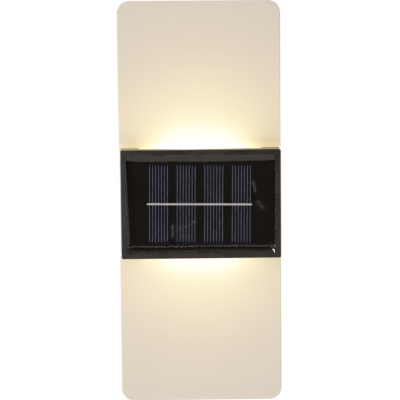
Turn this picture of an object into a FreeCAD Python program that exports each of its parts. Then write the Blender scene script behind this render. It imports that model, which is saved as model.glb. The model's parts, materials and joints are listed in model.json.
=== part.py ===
"""Solar fence light: a lit acrylic plate with a black solar housing across its middle.

Frame: millimetres, +Z up, the light faces -Y, and the fence or wall is the plane y = 0.
The origin is the middle of the rear cover's flat back. Depth is the distance from the
wall, so a point at depth d lies at y = -d.
"""
import FreeCAD, Part
import math
import os

os.makedirs("parts", exist_ok=True)

# ---------------------------------------------------------------- driving dimensions

# Battery: one AAA nickel-metal-hydride cell, lying across the housing.
battery_diameter = 10.5
battery_length = 44.5
battery_nub_diameter = 3.8
battery_nub_height = 0.8
battery_clearance = 0.25
battery_edge_radius = 0.4
cradle_wall = 1.2
cradle_floor = 1.0
cradle_height = 8.5
cradle_scoop_radius = 6.0
cradle_stop_width = 1.2
contact_thickness = 0.4
contact_width = 8.0
contact_shoulder = 0.5
contact_tab = 1.2
spring_length = 5.1
spring_wire_diameter = 0.7
spring_base_diameter = 7.0
spring_tip_diameter = 4.2
spring_turns = 3
spring_seat_gap = 0.02

# Solar panel: four cut cell strips on a board, potted under clear resin. The string of
# cells is glued a little askew, by cells_tilt degrees clockwise seen from the front.
cell_count = 4
cell_width = 8.2
cell_height = 31.3
cell_gap = 2.6
cell_thickness = 0.25
cells_left_shift = 0.43
cells_tilt = 0.7
ribbon_width = 0.75
ribbon_thickness = 0.12
ribbon_overhang = 0.3
ribbon_left_shift = 0.14
ribbon_drop = 0.14
solar_board_thickness = 0.8
solar_board_clearance = 0.15
resin_clearance = 0.02
resin_depth = 0.9
meniscus_radius = 1.5
meniscus_rise = 1.1
meniscus_lip = 0.15

# Front housing. Its sides lean out by the flare on their way from the rim to the plate.
housing_wall = 1.8
housing_corner = 0.7
housing_projection = 23.0
housing_side_flare = 1.3
rim_width = 2.03
rim_edge_radius = 0.25
tray_depth = 3.4
tray_floor = 1.6
tray_corner = 1.0
panel_end_margin = 3.6
cradle_side_room = 3.0
boss_radius = 2.8
boss_sink = 0.35

# Diffuser plate and its gaskets. The plate has a shallow waist where the housing grips it.
plate_side_overhang = 1.77
plate_height = 163.6
plate_thickness = 3.0
plate_corner = 5.0
plate_edge_bevel = 0.35
plate_drop = 1.3
plate_waist_inset = 0.3
plate_waist_room = 0.8
plate_waist_corner = 1.0
plate_hole_clearance = 0.3
switch_port_margin = 1.0
front_gasket_thickness = 1.0
rear_gasket_thickness = 0.8
gasket_inset = 0.6
gasket_width = 3.2
gasket_ear_radius = 3.0

# Light windows in the housing's top and bottom walls.
lens_end_margin = 6.65
lens_width = 5.4
lens_thickness = 1.0
lens_corner = 0.8
lens_clearance = 0.04
lens_edge_distance = 1.6
lens_ledge = 1.0

# Light boards, one behind each window.
led_end_inset = 2.5
led_board_width = 6.0
led_board_thickness = 1.0
led_air_gap = 2.3
led_length = 3.5
led_width = 2.8
led_height = 0.7
led_frame_width = 0.35
led_well_depth = 0.18
led_spacing = 16.0
guide_grip = 1.5
guide_backing = 0.6
guide_slot_clearance = 0.05
guide_foot = 2.1

# Control board.
control_board_thickness = 1.2
control_board_gap = 0.9
control_board_side_room = 6.3
post_height = 3.0
post_radius = 2.2
post_inset = 3.0
chip_width = 5.0
chip_height = 3.2
chip_thickness = 1.5
chip_leg_width = 0.5
chip_leg_pitch = 1.27
chip_standoff = 1.0
chip_edge_room = 1.2
choke_length = 6.5
choke_radius = 1.5
choke_lead_radius = 0.3
choke_waist_radius = 1.28
choke_standoff = 0.3
choke_screw_room = 2.2

# Rear cover.
cover_inset = 0.6
cover_depth = 7.5
cover_wall = 1.8
cover_corner = 4.0
cover_back_bevel = 0.5
keyhole_spacing = 28.0
keyhole_entry_radius = 4.25
keyhole_slot_radius = 2.25
keyhole_slot_length = 6.5
keyhole_entry_z = 1.0
keyhole_pocket_room = 0.75
keyhole_pocket_depth = 4.6
keyhole_pocket_wall = 0.9

# Power switch, a two-position slide switch behind a recess in the rear cover.
switch_travel = 2.0
switch_knob_width = 2.4
switch_knob_height = 3.0
switch_knob_below_back = 0.6
switch_recess_width = 13.0
switch_recess_height = 7.0
switch_recess_depth = 2.4
switch_recess_wall = 1.2
switch_edge_room = 3.0
switch_case_width = 12.0
switch_case_height = 6.4
switch_case_depth = 5.0
switch_plate_thickness = 0.6
switch_slide_clearance = 0.1
switch_slider_width = 4.6
switch_slider_height = 4.2
switch_slider_thickness = 1.4
switch_ear_screw_offset = 2.6
switch_ear_radius = 2.2
switch_pin_pitch = 3.0
switch_pin_size = 0.8
switch_pin_length = 2.5
knob_rib_count = 3
knob_rib_depth = 0.25

# Fasteners.
cover_screw_radius = 1.3
cover_screw_length = 18.0
cover_screw_head_radius = 2.3
cover_screw_head_height = 1.6
cover_screw_recess = 2.2
cover_screw_hole_clearance = 0.2
small_screw_radius = 0.95
small_screw_head_radius = 1.8
small_screw_head_height = 1.2
board_screw_length = 3.9
switch_screw_length = 2.6
thread_clearance = 0.02
head_side_clearance = 0.15
pilot_spare_depth = 0.5
cross_width = 0.55
cross_share = 0.62
cross_depth = 0.7
head_rounding_share = 0.4
tip_radius_share = 0.3

# Leads.
lead_radius = 0.55
lead_hole_clearance = 0.3
lead_bend_share = 0.45
lead_pitch = 3.0
pad_row_inset = 1.7
pad_end_inset = 1.5
middle_pad_drop = 1.6
switch_pad_shift = 2.4
lead_room_behind_board = 3.2
bottom_lead_post_room = 6.0
top_lead_start = 7.0
solar_lead_start = 4.0
solar_hole_room = 0.9

# How far a cutting shape runs past the face that it opens, and how far two shapes that
# are joined into one solid sink into each other.
overcut = 1.0
sink = 0.1

# ---------------------------------------------------------------- sizes that follow

cradle_inner_length = battery_length + spring_length + 2 * contact_thickness
cradle_length = cradle_inner_length + 2 * cradle_wall
cradle_inner_height = battery_diameter + 2 * battery_clearance
cradle_outer_height = cradle_inner_height + 2 * cradle_wall

housing_width = cradle_length + 2 * (cradle_side_room + housing_wall)
housing_height = cell_height + 2 * (panel_end_margin + rim_width)
inner_width = housing_width - 2 * housing_wall
inner_height = housing_height - 2 * housing_wall
tray_width = housing_width - 2 * rim_width
tray_height = housing_height - 2 * rim_width

plate_width = housing_width + 2 * plate_side_overhang
cover_width = housing_width - 2 * cover_inset
cover_height = housing_height - 2 * cover_inset

# Layers, as depths from the wall.
plate_back = cover_depth + rear_gasket_thickness
plate_front = plate_back + plate_thickness
housing_back = plate_front + front_gasket_thickness
rim_front = plate_front + housing_projection
tray_bottom = rim_front - tray_depth
floor_back = tray_bottom - tray_floor

# Corner screws, from the rear cover into the housing's bosses.
screw_x = inner_width / 2 - boss_radius + boss_sink
screw_z = inner_height / 2 - boss_radius + boss_sink
screw_places = [(side * screw_x, end * screw_z) for side in (-1, 1) for end in (-1, 1)]
screw_tip = cover_screw_recess + cover_screw_length

# Light windows and boards. Heights are for the top pair; the bottom pair mirrors it.
lens_length = housing_width - 2 * lens_end_margin
lens_middle = housing_back + lens_edge_distance + lens_width / 2
led_board_length = lens_length - 2 * led_end_inset
led_board_face = inner_height / 2 - led_air_gap
led_board_back = led_board_face - led_board_thickness
guide_inner_x = led_board_length / 2 - guide_grip
guide_outer_x = led_board_length / 2 + guide_backing
guide_bottom = led_board_back - guide_foot

# Battery and control board share the height between the two rows of guides.
cradle_top = guide_bottom - control_board_gap / 2
cradle_bottom = cradle_top - cradle_outer_height
battery_z = cradle_top - cradle_outer_height / 2
battery_depth = floor_back - cradle_floor - battery_clearance - battery_diameter / 2
board_top = cradle_bottom - control_board_gap
board_bottom = -guide_bottom + control_board_gap / 2
board_height = board_top - board_bottom
board_z = (board_top + board_bottom) / 2
board_length = inner_width - 2 * control_board_side_room
board_front = floor_back - post_height
board_rear = board_front - control_board_thickness
post_x = board_length / 2 - post_inset

# Switch.
switch_z = -(cover_height / 2 - cover_wall - switch_edge_room - switch_recess_height / 2
             - switch_recess_wall)
switch_front = switch_recess_depth + switch_recess_wall
switch_screw_x = switch_case_width / 2 + switch_ear_screw_offset
slot_width = switch_knob_width + switch_travel + 2 * switch_slide_clearance
slot_height = switch_knob_height + 2 * switch_slide_clearance
knob_rest_x = -switch_travel / 2


# ---------------------------------------------------------------- shape helpers

def place(x, depth, z):
    """The point at x and z that lies depth in front of the wall."""
    return FreeCAD.Vector(x, -depth, z)


def block(width, height, near, far, x=0.0, z=0.0):
    """A square-cornered block between two depths, centred on x and z."""
    return Part.makeBox(width, far - near, height, place(x - width / 2, far, z - height / 2))


def edges_along_depth(shape):
    """The straight edges that run from front to back, even if they lean a little."""
    found = []
    for edge in shape.Edges:
        direction = edge.tangentAt(edge.FirstParameter)
        if abs(direction.y) > 0.9:
            found.append(edge)
    return found


def edges_at_depth(shape, depth):
    """The edges that lie wholly at one depth."""
    tolerance = 1e-6
    return [edge for edge in shape.Edges
            if abs(edge.BoundBox.YMin + depth) < tolerance
            and abs(edge.BoundBox.YMax + depth) < tolerance]


def rounded_block(width, height, corner, near, far, x=0.0, z=0.0):
    """A block whose four front-to-back corners are round."""
    radius = min(corner, 0.45 * min(width, height))
    solid = block(width, height, near, far, x, z)
    return solid.makeFillet(radius, edges_along_depth(solid))


def flared_block(width, height, flare, corner, near, far):
    """A round-cornered block, width across its front, whose sides lean out to the back."""
    front_x = width / 2
    back_x = width / 2 + flare
    solid = Part.makeWedge(-front_x, -far, -height / 2, -height / 2, -back_x,
                           front_x, -near, height / 2, height / 2, back_x)
    return solid.makeFillet(corner, edges_along_depth(solid))


def peg(radius, near, far, x=0.0, z=0.0):
    """A cylinder that runs from front to back between two depths."""
    return Part.makeCylinder(radius, far - near, place(x, far, z), FreeCAD.Vector(0, 1, 0))


def join(shapes):
    """One solid from pieces that touch or overlap."""
    whole = shapes[0].multiFuse(shapes[1:]) if len(shapes) > 1 else shapes[0]
    return whole.removeSplitter()


def flipped(shape):
    """The same shape mirrored from the top half to the bottom half."""
    return shape.mirror(FreeCAD.Vector(0, 0, 0), FreeCAD.Vector(0, 0, 1))


def screw(radius, length, head_radius, head_height, x, z, seat, towards_wall=False):
    """A pan-head screw with a cross recess; its head bears on the depth called seat.

    The shank runs away from the wall, or towards it when towards_wall is set.
    """
    ahead = -1 if towards_wall else 1
    tip_length = radius
    shank_end = seat + ahead * (length - tip_length)
    head_top = seat - ahead * head_height
    head = peg(head_radius, min(head_top, seat), max(head_top, seat), x, z)
    rim = edges_at_depth(head, head_top)
    head = head.makeFillet(head_rounding_share * head_height, rim)
    shank = peg(radius, min(seat, shank_end), max(seat, shank_end), x, z)
    tip = Part.makeCone(radius, tip_radius_share * radius, tip_length,
                        place(x, shank_end, z), FreeCAD.Vector(0, -ahead, 0))
    slot_far = head_top + ahead * cross_depth
    near, far = min(head_top, slot_far), max(head_top, slot_far)
    span = 2 * head_radius * cross_share
    cross = join([block(span, cross_width, near, far, x, z),
                  block(cross_width, span, near, far, x, z)])
    return join([head, shank, tip]).cut(cross)


def round_arc(start, corner, end):
    """The arc that leaves start and reaches end, both tangent to the lines to corner."""
    half_chord = (end - start).Length / 2
    weight = half_chord / (corner - start).Length
    middle = (start + end + corner * (2 * weight)) * (1 / (2 + 2 * weight))
    return Part.Arc(start, middle, end).toShape()


def tube(path, radius, direction):
    """A round tube of the given radius along a smooth path of edges."""
    start = path[0].valueAt(path[0].FirstParameter)
    ring = Part.Wire([Part.makeCircle(radius, start, direction)])
    return Part.Wire(path).makePipeShell([ring], True, False)


def lead(points):
    """An insulated lead: straight runs between the points, joined by tangent arcs."""
    spots = [place(*point) for point in points]
    path = []
    here = spots[0]
    for before, corner, after in zip(spots, spots[1:], spots[2:]):
        back = (before - corner)
        ahead = (after - corner)
        reach = lead_bend_share * min(back.Length, ahead.Length)
        arc_start = corner + back.normalize() * reach
        arc_end = corner + ahead.normalize() * reach
        path.append(Part.makeLine(here, arc_start))
        path.append(round_arc(arc_start, corner, arc_end))
        here = arc_end
    path.append(Part.makeLine(here, spots[-1]))
    solid = tube(path, lead_radius, spots[1] - spots[0])
    length = sum(edge.Length for edge in path)
    straight_volume = math.pi * lead_radius ** 2 * length
    bends = [edge.Curve.Radius for edge in path if hasattr(edge.Curve, "Radius")]
    print("lead: length %.1f, tightest bend %.2f, volume over section x length %.4f"
          % (length, min(bends), solid.Volume / straight_volume))
    return solid


# ---------------------------------------------------------------- solar panel

def solar_backing_board():
    """The board that carries the cells, dropped into the housing's tray."""
    return rounded_block(tray_width - 2 * solar_board_clearance,
                         tray_height - 2 * solar_board_clearance,
                         tray_corner - solar_board_clearance,
                         tray_bottom, tray_bottom + solar_board_thickness)


cell_back = tray_bottom + solar_board_thickness
cell_front = cell_back + cell_thickness
cell_span = cell_count * cell_width + (cell_count - 1) * cell_gap
first_cell_x = -cells_left_shift - (cell_span - cell_width) / 2
cell_places = [first_cell_x + index * (cell_width + cell_gap) for index in range(cell_count)]


def askew(shape):
    """The shape turned a little about the panel's middle."""
    middle = place(-cells_left_shift, cell_back, 0)
    return shape.rotated(middle, FreeCAD.Vector(0, 1, 0), cells_tilt)


def solar_cell(x):
    """One upright strip cut from a silicon cell."""
    return askew(block(cell_width, cell_height, cell_back, cell_front, x))


def tab_ribbon():
    """The tinned ribbon soldered across all the strips at mid-height."""
    return askew(block(cell_span + 2 * ribbon_overhang, ribbon_width, cell_front,
                       cell_front + ribbon_thickness,
                       -cells_left_shift - ribbon_left_shift, -ribbon_drop))


def solar_resin(buried):
    """Clear resin poured over the cells; its skin curves up where it wets the tray wall."""
    resin_level = cell_back + resin_depth
    resin_edge = resin_level + meniscus_rise
    pour = rounded_block(tray_width - 2 * resin_clearance, tray_height - 2 * resin_clearance,
                         tray_corner - resin_clearance, cell_back, resin_edge)
    lip = resin_clearance + meniscus_lip
    dish = rounded_block(tray_width - 2 * lip, tray_height - 2 * lip, meniscus_radius * 1.05,
                         resin_level, resin_level + 2 * meniscus_radius)
    dish = dish.makeFillet(meniscus_radius, edges_at_depth(dish, resin_level))
    return pour.cut(dish).cut(Part.makeCompound(buried))


# ---------------------------------------------------------------- light windows

def lens():
    """The frosted strip glued into the rebate in the housing's top wall."""
    outer = housing_height / 2
    strip = Part.makeBox(lens_length, lens_width, lens_thickness,
                         place(-lens_length / 2, lens_middle + lens_width / 2,
                               outer - lens_thickness))
    upright = [edge for edge in strip.Edges
               if abs(edge.tangentAt(edge.FirstParameter).z) > 0.999]
    return strip.makeFillet(min(lens_corner, 0.45 * lens_width), upright)


def window_cut():
    """What the top wall loses: the lens's rebate and the light's way out below it."""
    outer = housing_height / 2
    rebate_length = lens_length + 2 * lens_clearance
    rebate_width = lens_width + 2 * lens_clearance
    rebate = Part.makeBox(rebate_length, rebate_width, 2 * lens_thickness,
                          place(-rebate_length / 2, lens_middle + rebate_width / 2,
                                outer - lens_thickness))
    way_width = lens_width - 2 * lens_ledge
    way_out = Part.makeBox(2 * guide_inner_x, way_width, 2 * housing_wall,
                           place(-guide_inner_x, lens_middle + way_width / 2,
                                 inner_height / 2 - housing_wall / 2))
    return join([rebate, way_out])


def light_board():
    """The narrow circuit board behind the top window."""
    return Part.makeBox(led_board_length, led_board_width, led_board_thickness,
                        place(-led_board_length / 2, lens_middle + led_board_width / 2,
                              led_board_back))


def light_emitter(x):
    """One surface-mount light, face up on the top board, with a sunken lit face."""
    body = Part.makeBox(led_length, led_width, led_height,
                        place(x - led_length / 2, lens_middle + led_width / 2, led_board_face))
    well = Part.makeBox(led_length - 2 * led_frame_width, led_width - 2 * led_frame_width,
                        led_height,
                        place(x - led_length / 2 + led_frame_width,
                              lens_middle + led_width / 2 - led_frame_width,
                              led_board_face + led_height - led_well_depth))
    return body.cut(well)


def board_guides():
    """A pair of slotted guides that the top light board slides into from behind."""
    guide_back = lens_middle - led_board_width / 2 - guide_slot_clearance
    slot_end = lens_middle + led_board_width / 2 + guide_slot_clearance
    pieces = []
    for side in (-1, 1):
        x = side * (guide_inner_x + guide_outer_x) / 2
        height = inner_height / 2 - guide_bottom + housing_wall / 2
        post = block(guide_outer_x - guide_inner_x, height, guide_back, floor_back, x,
                     guide_bottom + height / 2)
        slot_x = side * (guide_inner_x + led_board_length / 2 + guide_slot_clearance) / 2
        slot_length = led_board_length / 2 + guide_slot_clearance - guide_inner_x
        slot = block(slot_length, led_board_thickness + guide_slot_clearance,
                     guide_back - overcut, slot_end, slot_x,
                     led_board_back + (led_board_thickness + guide_slot_clearance) / 2)
        pieces.append(post.cut(slot))
    return pieces


# ---------------------------------------------------------------- front housing

def front_housing():
    """The moulded black body: side walls, panel tray, bosses, guides and posts."""
    shell = flared_block(housing_width, housing_height, housing_side_flare, housing_corner,
                         housing_back, rim_front)
    shell = shell.makeFillet(rim_edge_radius, edges_at_depth(shell, rim_front))
    cavity = block(inner_width, inner_height, housing_back - overcut, floor_back)
    tray = rounded_block(tray_width, tray_height, tray_corner, tray_bottom,
                         rim_front + overcut)
    shell = shell.cut(cavity).cut(tray)

    added = []
    for x, z in screw_places:
        added.append(peg(boss_radius, housing_back, floor_back, x, z))
    guides = board_guides()
    added += guides + [flipped(guide) for guide in guides]
    for side in (-1, 1):
        added.append(peg(post_radius, board_front, floor_back, side * post_x, board_z))
        stop_x = side * (cradle_length / 2 + battery_clearance + cradle_stop_width / 2)
        added.append(block(cradle_stop_width, cradle_outer_height,
                           floor_back - 2 * cradle_wall, floor_back, stop_x, battery_z))
    body = join([shell] + added)

    removed = []
    for x, z in screw_places:
        removed.append(peg(cover_screw_radius + thread_clearance, housing_back - overcut,
                           screw_tip + pilot_spare_depth, x, z))
    for side in (-1, 1):
        removed.append(peg(small_screw_radius + thread_clearance, board_front - overcut,
                           board_rear + board_screw_length + pilot_spare_depth / 2,
                           side * post_x, board_z))
    for x, z in solar_lead_holes:
        removed.append(peg(lead_radius + lead_hole_clearance, floor_back - overcut,
                           tray_bottom + overcut, x, z))
    window = window_cut()
    removed += [window, flipped(window)]
    return body.cut(Part.makeCompound(removed)).removeSplitter()


# ---------------------------------------------------------------- plate and gaskets

def diffuser_plate():
    """The frosted acrylic plate, drilled for the four screws and ported for the switch."""
    slab = rounded_block(plate_width, plate_height, plate_corner, plate_back, plate_front,
                         0, -plate_drop)
    for side in (-1, 1):
        slab = slab.cut(rounded_block(2 * (plate_side_overhang + plate_waist_inset),
                                      housing_height + 2 * plate_waist_room,
                                      plate_waist_corner, plate_back - overcut,
                                      plate_front + overcut, side * plate_width / 2,
                                      -plate_drop))
    faces = edges_at_depth(slab, plate_front) + edges_at_depth(slab, plate_back)
    slab = slab.makeChamfer(plate_edge_bevel, faces)
    holes = [peg(cover_screw_radius + plate_hole_clearance, plate_back - overcut,
                 plate_front + overcut, x, z) for x, z in screw_places]
    port_width = switch_case_width + 2 * switch_port_margin
    port_height = switch_case_height + 2 * switch_port_margin
    holes.append(rounded_block(port_width, port_height, 2 * switch_port_margin,
                               plate_back - overcut, plate_front + overcut, 0, switch_z))
    return slab.cut(Part.makeCompound(holes))


def gasket(width, height, corner, near, far):
    """A rubber frame with an ear round each screw."""
    frame = rounded_block(width, height, corner, near, far)
    middle = rounded_block(width - 2 * gasket_width, height - 2 * gasket_width, corner,
                           near - overcut, far + overcut)
    ears = [peg(gasket_ear_radius, near, far, x, z) for x, z in screw_places]
    holes = [peg(cover_screw_radius + plate_hole_clearance, near - overcut, far + overcut,
                 x, z) for x, z in screw_places]
    return join([frame.cut(middle)] + ears).cut(Part.makeCompound(holes))


def front_gasket():
    """The gasket between the plate and the housing."""
    return gasket(housing_width - 2 * gasket_inset, housing_height - 2 * gasket_inset,
                  housing_corner, plate_front, housing_back)


def rear_gasket():
    """The gasket between the rear cover and the plate."""
    return gasket(cover_width - 2 * gasket_inset, cover_height - 2 * gasket_inset,
                  cover_corner - gasket_inset, cover_depth, plate_back)


# ---------------------------------------------------------------- rear cover

keyhole_places = [-keyhole_spacing / 2, keyhole_spacing / 2]
pocket_inner_width = 2 * (keyhole_entry_radius + keyhole_pocket_room)
pocket_low = keyhole_entry_z - keyhole_entry_radius - keyhole_pocket_room
pocket_high = (keyhole_entry_z + keyhole_slot_length + keyhole_entry_radius
               + keyhole_pocket_room)
pocket_middle = (pocket_low + pocket_high) / 2
pocket_inner_height = pocket_high - pocket_low


def keyhole_cut(x):
    """A round entry with a narrower slot above it, through the back wall."""
    entry = peg(keyhole_entry_radius, -overcut, cover_wall + sink, x, keyhole_entry_z)
    slot_top = keyhole_entry_z + keyhole_slot_length
    end = peg(keyhole_slot_radius, -overcut, cover_wall + sink, x, slot_top)
    slot = block(2 * keyhole_slot_radius, keyhole_slot_length, -overcut, cover_wall + sink,
                 x, keyhole_entry_z + keyhole_slot_length / 2)
    return join([entry, end, slot])


def rear_cover():
    """The shallow back shell, with keyhole pockets, screw bosses and the switch recess."""
    shell = rounded_block(cover_width, cover_height, cover_corner, 0, cover_depth)
    shell = shell.makeChamfer(cover_back_bevel, edges_at_depth(shell, 0))
    inside = rounded_block(cover_width - 2 * cover_wall, cover_height - 2 * cover_wall,
                           cover_corner - cover_wall, cover_wall, cover_depth + overcut)
    shell = shell.cut(inside)

    pocket_end = cover_wall + keyhole_pocket_depth
    added = [peg(boss_radius, cover_wall / 2, cover_depth, x, z) for x, z in screw_places]
    removed = []
    for x in keyhole_places:
        added.append(rounded_block(pocket_inner_width + 2 * keyhole_pocket_wall,
                                   pocket_inner_height + 2 * keyhole_pocket_wall,
                                   2 * keyhole_pocket_wall, cover_wall / 2,
                                   pocket_end + keyhole_pocket_wall, x, pocket_middle))
        removed.append(rounded_block(pocket_inner_width, pocket_inner_height,
                                     keyhole_pocket_wall, cover_wall, pocket_end, x,
                                     pocket_middle))
        removed.append(keyhole_cut(x))

    added.append(rounded_block(switch_recess_width + 2 * switch_recess_wall,
                               switch_recess_height + 2 * switch_recess_wall,
                               2 * switch_recess_wall, cover_wall / 2, switch_front, 0,
                               switch_z))
    removed.append(rounded_block(switch_recess_width, switch_recess_height,
                                 switch_recess_wall, -overcut, switch_recess_depth, 0,
                                 switch_z))
    removed.append(block(slot_width, slot_height, 0, switch_front + overcut, 0, switch_z))
    for side in (-1, 1):
        added.append(peg(switch_ear_radius, cover_wall / 2, switch_front,
                         side * switch_screw_x, switch_z))
        removed.append(peg(small_screw_radius + thread_clearance,
                           switch_front + switch_plate_thickness - switch_screw_length
                           - pilot_spare_depth / 2,
                           switch_front + overcut, side * switch_screw_x, switch_z))
    for x, z in screw_places:
        removed.append(peg(cover_screw_radius + cover_screw_hole_clearance, -overcut,
                           cover_depth + overcut, x, z))
        removed.append(peg(cover_screw_head_radius + head_side_clearance, -overcut,
                           cover_screw_recess, x, z))
    return join([shell] + added).cut(Part.makeCompound(removed)).removeSplitter()


def cover_screws():
    """The four long screws that clamp the whole stack together."""
    return Part.makeCompound([
        screw(cover_screw_radius, cover_screw_length, cover_screw_head_radius,
              cover_screw_head_height, x, z, cover_screw_recess)
        for x, z in screw_places])


# ---------------------------------------------------------------- power switch

slider_near = switch_front + switch_plate_thickness + switch_slide_clearance
slider_far = slider_near + switch_slider_thickness


def switch_case():
    """The switch's body and its eared mounting plate, hollow where the slider runs."""
    plate_far = switch_front + switch_plate_thickness
    plate = rounded_block(2 * (switch_screw_x + switch_ear_radius), 2 * switch_ear_radius,
                          switch_ear_radius, switch_front, plate_far, 0, switch_z)
    body = block(switch_case_width, switch_case_height, switch_front,
                 switch_front + switch_case_depth, 0, switch_z)
    track_width = switch_slider_width + switch_travel + 2 * switch_slide_clearance
    track_height = switch_slider_height + 2 * switch_slide_clearance
    track = block(track_width, track_height, plate_far, slider_far + switch_slide_clearance,
                  0, switch_z)
    slot = block(slot_width, slot_height, switch_front - overcut, plate_far + sink, 0,
                 switch_z)
    holes = [peg(small_screw_radius + head_side_clearance, switch_front - overcut,
                 plate_far + overcut, side * switch_screw_x, switch_z) for side in (-1, 1)]
    return join([plate, body]).cut(Part.makeCompound([track, slot] + holes))


def switch_slider():
    """The slider: a shoe inside the case and a ribbed knob in the recess."""
    knob_top = switch_knob_below_back
    shoe = block(switch_slider_width, switch_slider_height, slider_near, slider_far,
                 knob_rest_x, switch_z)
    knob = block(switch_knob_width, switch_knob_height, knob_top, slider_near + sink,
                 knob_rest_x, switch_z)
    groove_pitch = switch_knob_width / (knob_rib_count + 0.5)
    groove_width = groove_pitch / 2
    grooves = []
    for index in range(knob_rib_count):
        groove_x = knob_rest_x + (index - (knob_rib_count - 1) / 2) * groove_pitch
        grooves.append(block(groove_width, switch_knob_height + overcut,
                             knob_top - overcut, knob_top + knob_rib_depth, groove_x,
                             switch_z))
    return join([shoe, knob]).cut(Part.makeCompound(grooves))


def switch_pins():
    """The three solder pins on the back of the switch."""
    near = switch_front + switch_case_depth
    return Part.makeCompound([
        block(switch_pin_size, switch_pin_size, near, near + switch_pin_length,
              index * switch_pin_pitch, switch_z) for index in (-1, 0, 1)])


def switch_screws():
    """The two small screws that hold the switch to the rear cover."""
    return Part.makeCompound([
        screw(small_screw_radius, switch_screw_length, small_screw_head_radius,
              small_screw_head_height, side * switch_screw_x, switch_z,
              switch_front + switch_plate_thickness, towards_wall=True)
        for side in (-1, 1)])


# ---------------------------------------------------------------- battery

cradle_left = -cradle_length / 2
inside_left = cradle_left + cradle_wall
battery_left = inside_left + contact_thickness + spring_length
battery_right = battery_left + battery_length


def along_x(radius, x_from, x_to, depth, z):
    """A cylinder that runs from left to right."""
    return Part.makeCylinder(radius, x_to - x_from, place(x_from, depth, z),
                             FreeCAD.Vector(1, 0, 0))


def battery_cell():
    """The AAA cell, its plus nub to the right."""
    shoulder = battery_right - battery_nub_height
    can = along_x(battery_diameter / 2, battery_left, shoulder, battery_depth, battery_z)
    ends = [edge for edge in can.Edges if abs(edge.BoundBox.XMax - edge.BoundBox.XMin) < 1e-6]
    can = can.makeFillet(battery_edge_radius, ends)
    nub = along_x(battery_nub_diameter / 2, shoulder - sink, battery_right, battery_depth,
                  battery_z)
    return join([can, nub])


def battery_cradle():
    """The open trough that holds the cell, with a finger scoop in its long walls."""
    rear = floor_back - cradle_floor - cradle_height
    trough = block(cradle_length, cradle_outer_height, rear, floor_back, 0, battery_z)
    hollow = block(cradle_inner_length, cradle_inner_height, rear - overcut,
                   floor_back - cradle_floor, 0, battery_z)
    scoop_length = cradle_outer_height + 2 * overcut
    scoop = Part.makeCylinder(cradle_scoop_radius, scoop_length,
                              place(0, rear, battery_z - scoop_length / 2),
                              FreeCAD.Vector(0, 0, 1))
    return trough.cut(hollow).cut(scoop)


def contact(x):
    """A flat spring-steel contact with a tab that stands out of the cradle for its lead."""
    far = floor_back - cradle_floor
    near = far - cradle_height
    plate = block(contact_thickness, contact_width, near + contact_shoulder, far, x,
                  battery_z)
    tab = block(contact_thickness, contact_width / 3, near - contact_tab,
                near + contact_shoulder, x, battery_z)
    return join([plate, tab])


left_contact_x = inside_left + contact_thickness / 2
right_contact_x = cradle_length / 2 - cradle_wall - contact_thickness / 2
contact_tab_end = floor_back - cradle_floor - cradle_height - contact_tab


def spring_point(turn):
    """Where the spring's wire is after so many turns, and which way it heads there."""
    share = turn / spring_turns
    wire = spring_wire_diameter / 2
    base = spring_base_diameter / 2 - wire
    tip = spring_tip_diameter / 2 - wire
    radius = base + (tip - base) * share
    angle = 2 * math.pi * turn
    start_x = inside_left + contact_thickness + wire + spring_seat_gap
    end_x = battery_left - wire - spring_seat_gap
    x = start_x + (end_x - start_x) * share
    point = FreeCAD.Vector(x, radius * math.cos(angle) - battery_depth,
                           radius * math.sin(angle) + battery_z)
    rise = (end_x - start_x) / spring_turns
    inward = (tip - base) / spring_turns
    heading = FreeCAD.Vector(
        rise,
        inward * math.cos(angle) - 2 * math.pi * radius * math.sin(angle),
        inward * math.sin(angle) + 2 * math.pi * radius * math.cos(angle))
    return point, heading.normalize()


def biarc(start, leaving, end, arriving):
    """Two arcs, smooth where they meet, from start to end along the given headings."""
    across = end - start
    both = leaving + arriving
    opening = 2 * (1 - leaving.dot(arriving))
    reach = (-across.dot(both) + math.sqrt(across.dot(both) ** 2
                                           + opening * across.dot(across))) / opening
    first_corner = start + leaving * reach
    second_corner = end - arriving * reach
    meeting = (first_corner + second_corner) * 0.5
    return [round_arc(start, first_corner, meeting), round_arc(meeting, second_corner, end)]


def contact_spring():
    """The tapering coil that presses on the cell's minus end."""
    path = []
    quarters = 4 * spring_turns
    for index in range(quarters):
        start, leaving = spring_point(index / 4)
        end, arriving = spring_point((index + 1) / 4)
        path += biarc(start, leaving, end, arriving)
    return tube(path, spring_wire_diameter / 2, spring_point(0)[1])


def spring_gap_to_itself():
    """The least clear gap between two turns, measured on points a turn apart."""
    samples = [spring_point(index / 24)[0] for index in range(24 * spring_turns + 1)]
    gaps = [(samples[index + 24] - samples[index]).Length - spring_wire_diameter
            for index in range(len(samples) - 24)]
    return min(gaps)


# ---------------------------------------------------------------- control board

def control_board():
    """The board under the battery, screwed to two posts."""
    board = block(board_length, board_height, board_rear, board_front, 0, board_z)
    holes = [peg(small_screw_radius + head_side_clearance, board_rear - overcut,
                 board_front + overcut, side * post_x, board_z) for side in (-1, 1)]
    return board.cut(Part.makeCompound(holes))


def board_screws():
    """The two small screws through the control board."""
    return Part.makeCompound([
        screw(small_screw_radius, board_screw_length, small_screw_head_radius,
              small_screw_head_height, side * post_x, board_z, board_rear)
        for side in (-1, 1)])


chip_z = board_top - chip_edge_room - chip_height / 2
choke_x = post_x - small_screw_head_radius - choke_screw_room - choke_length / 2
choke_z = board_z


def driver_chip():
    """The solar light driver: a small moulded package standing on four legs."""
    far = board_rear - chip_standoff
    body = block(chip_width, chip_height, far - chip_thickness, far, 0, chip_z)
    legs = [block(chip_leg_width, chip_leg_width, far - sink, board_rear,
                  (index - 1.5) * chip_leg_pitch, chip_z) for index in range(4)]
    return join([body] + legs)


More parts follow.
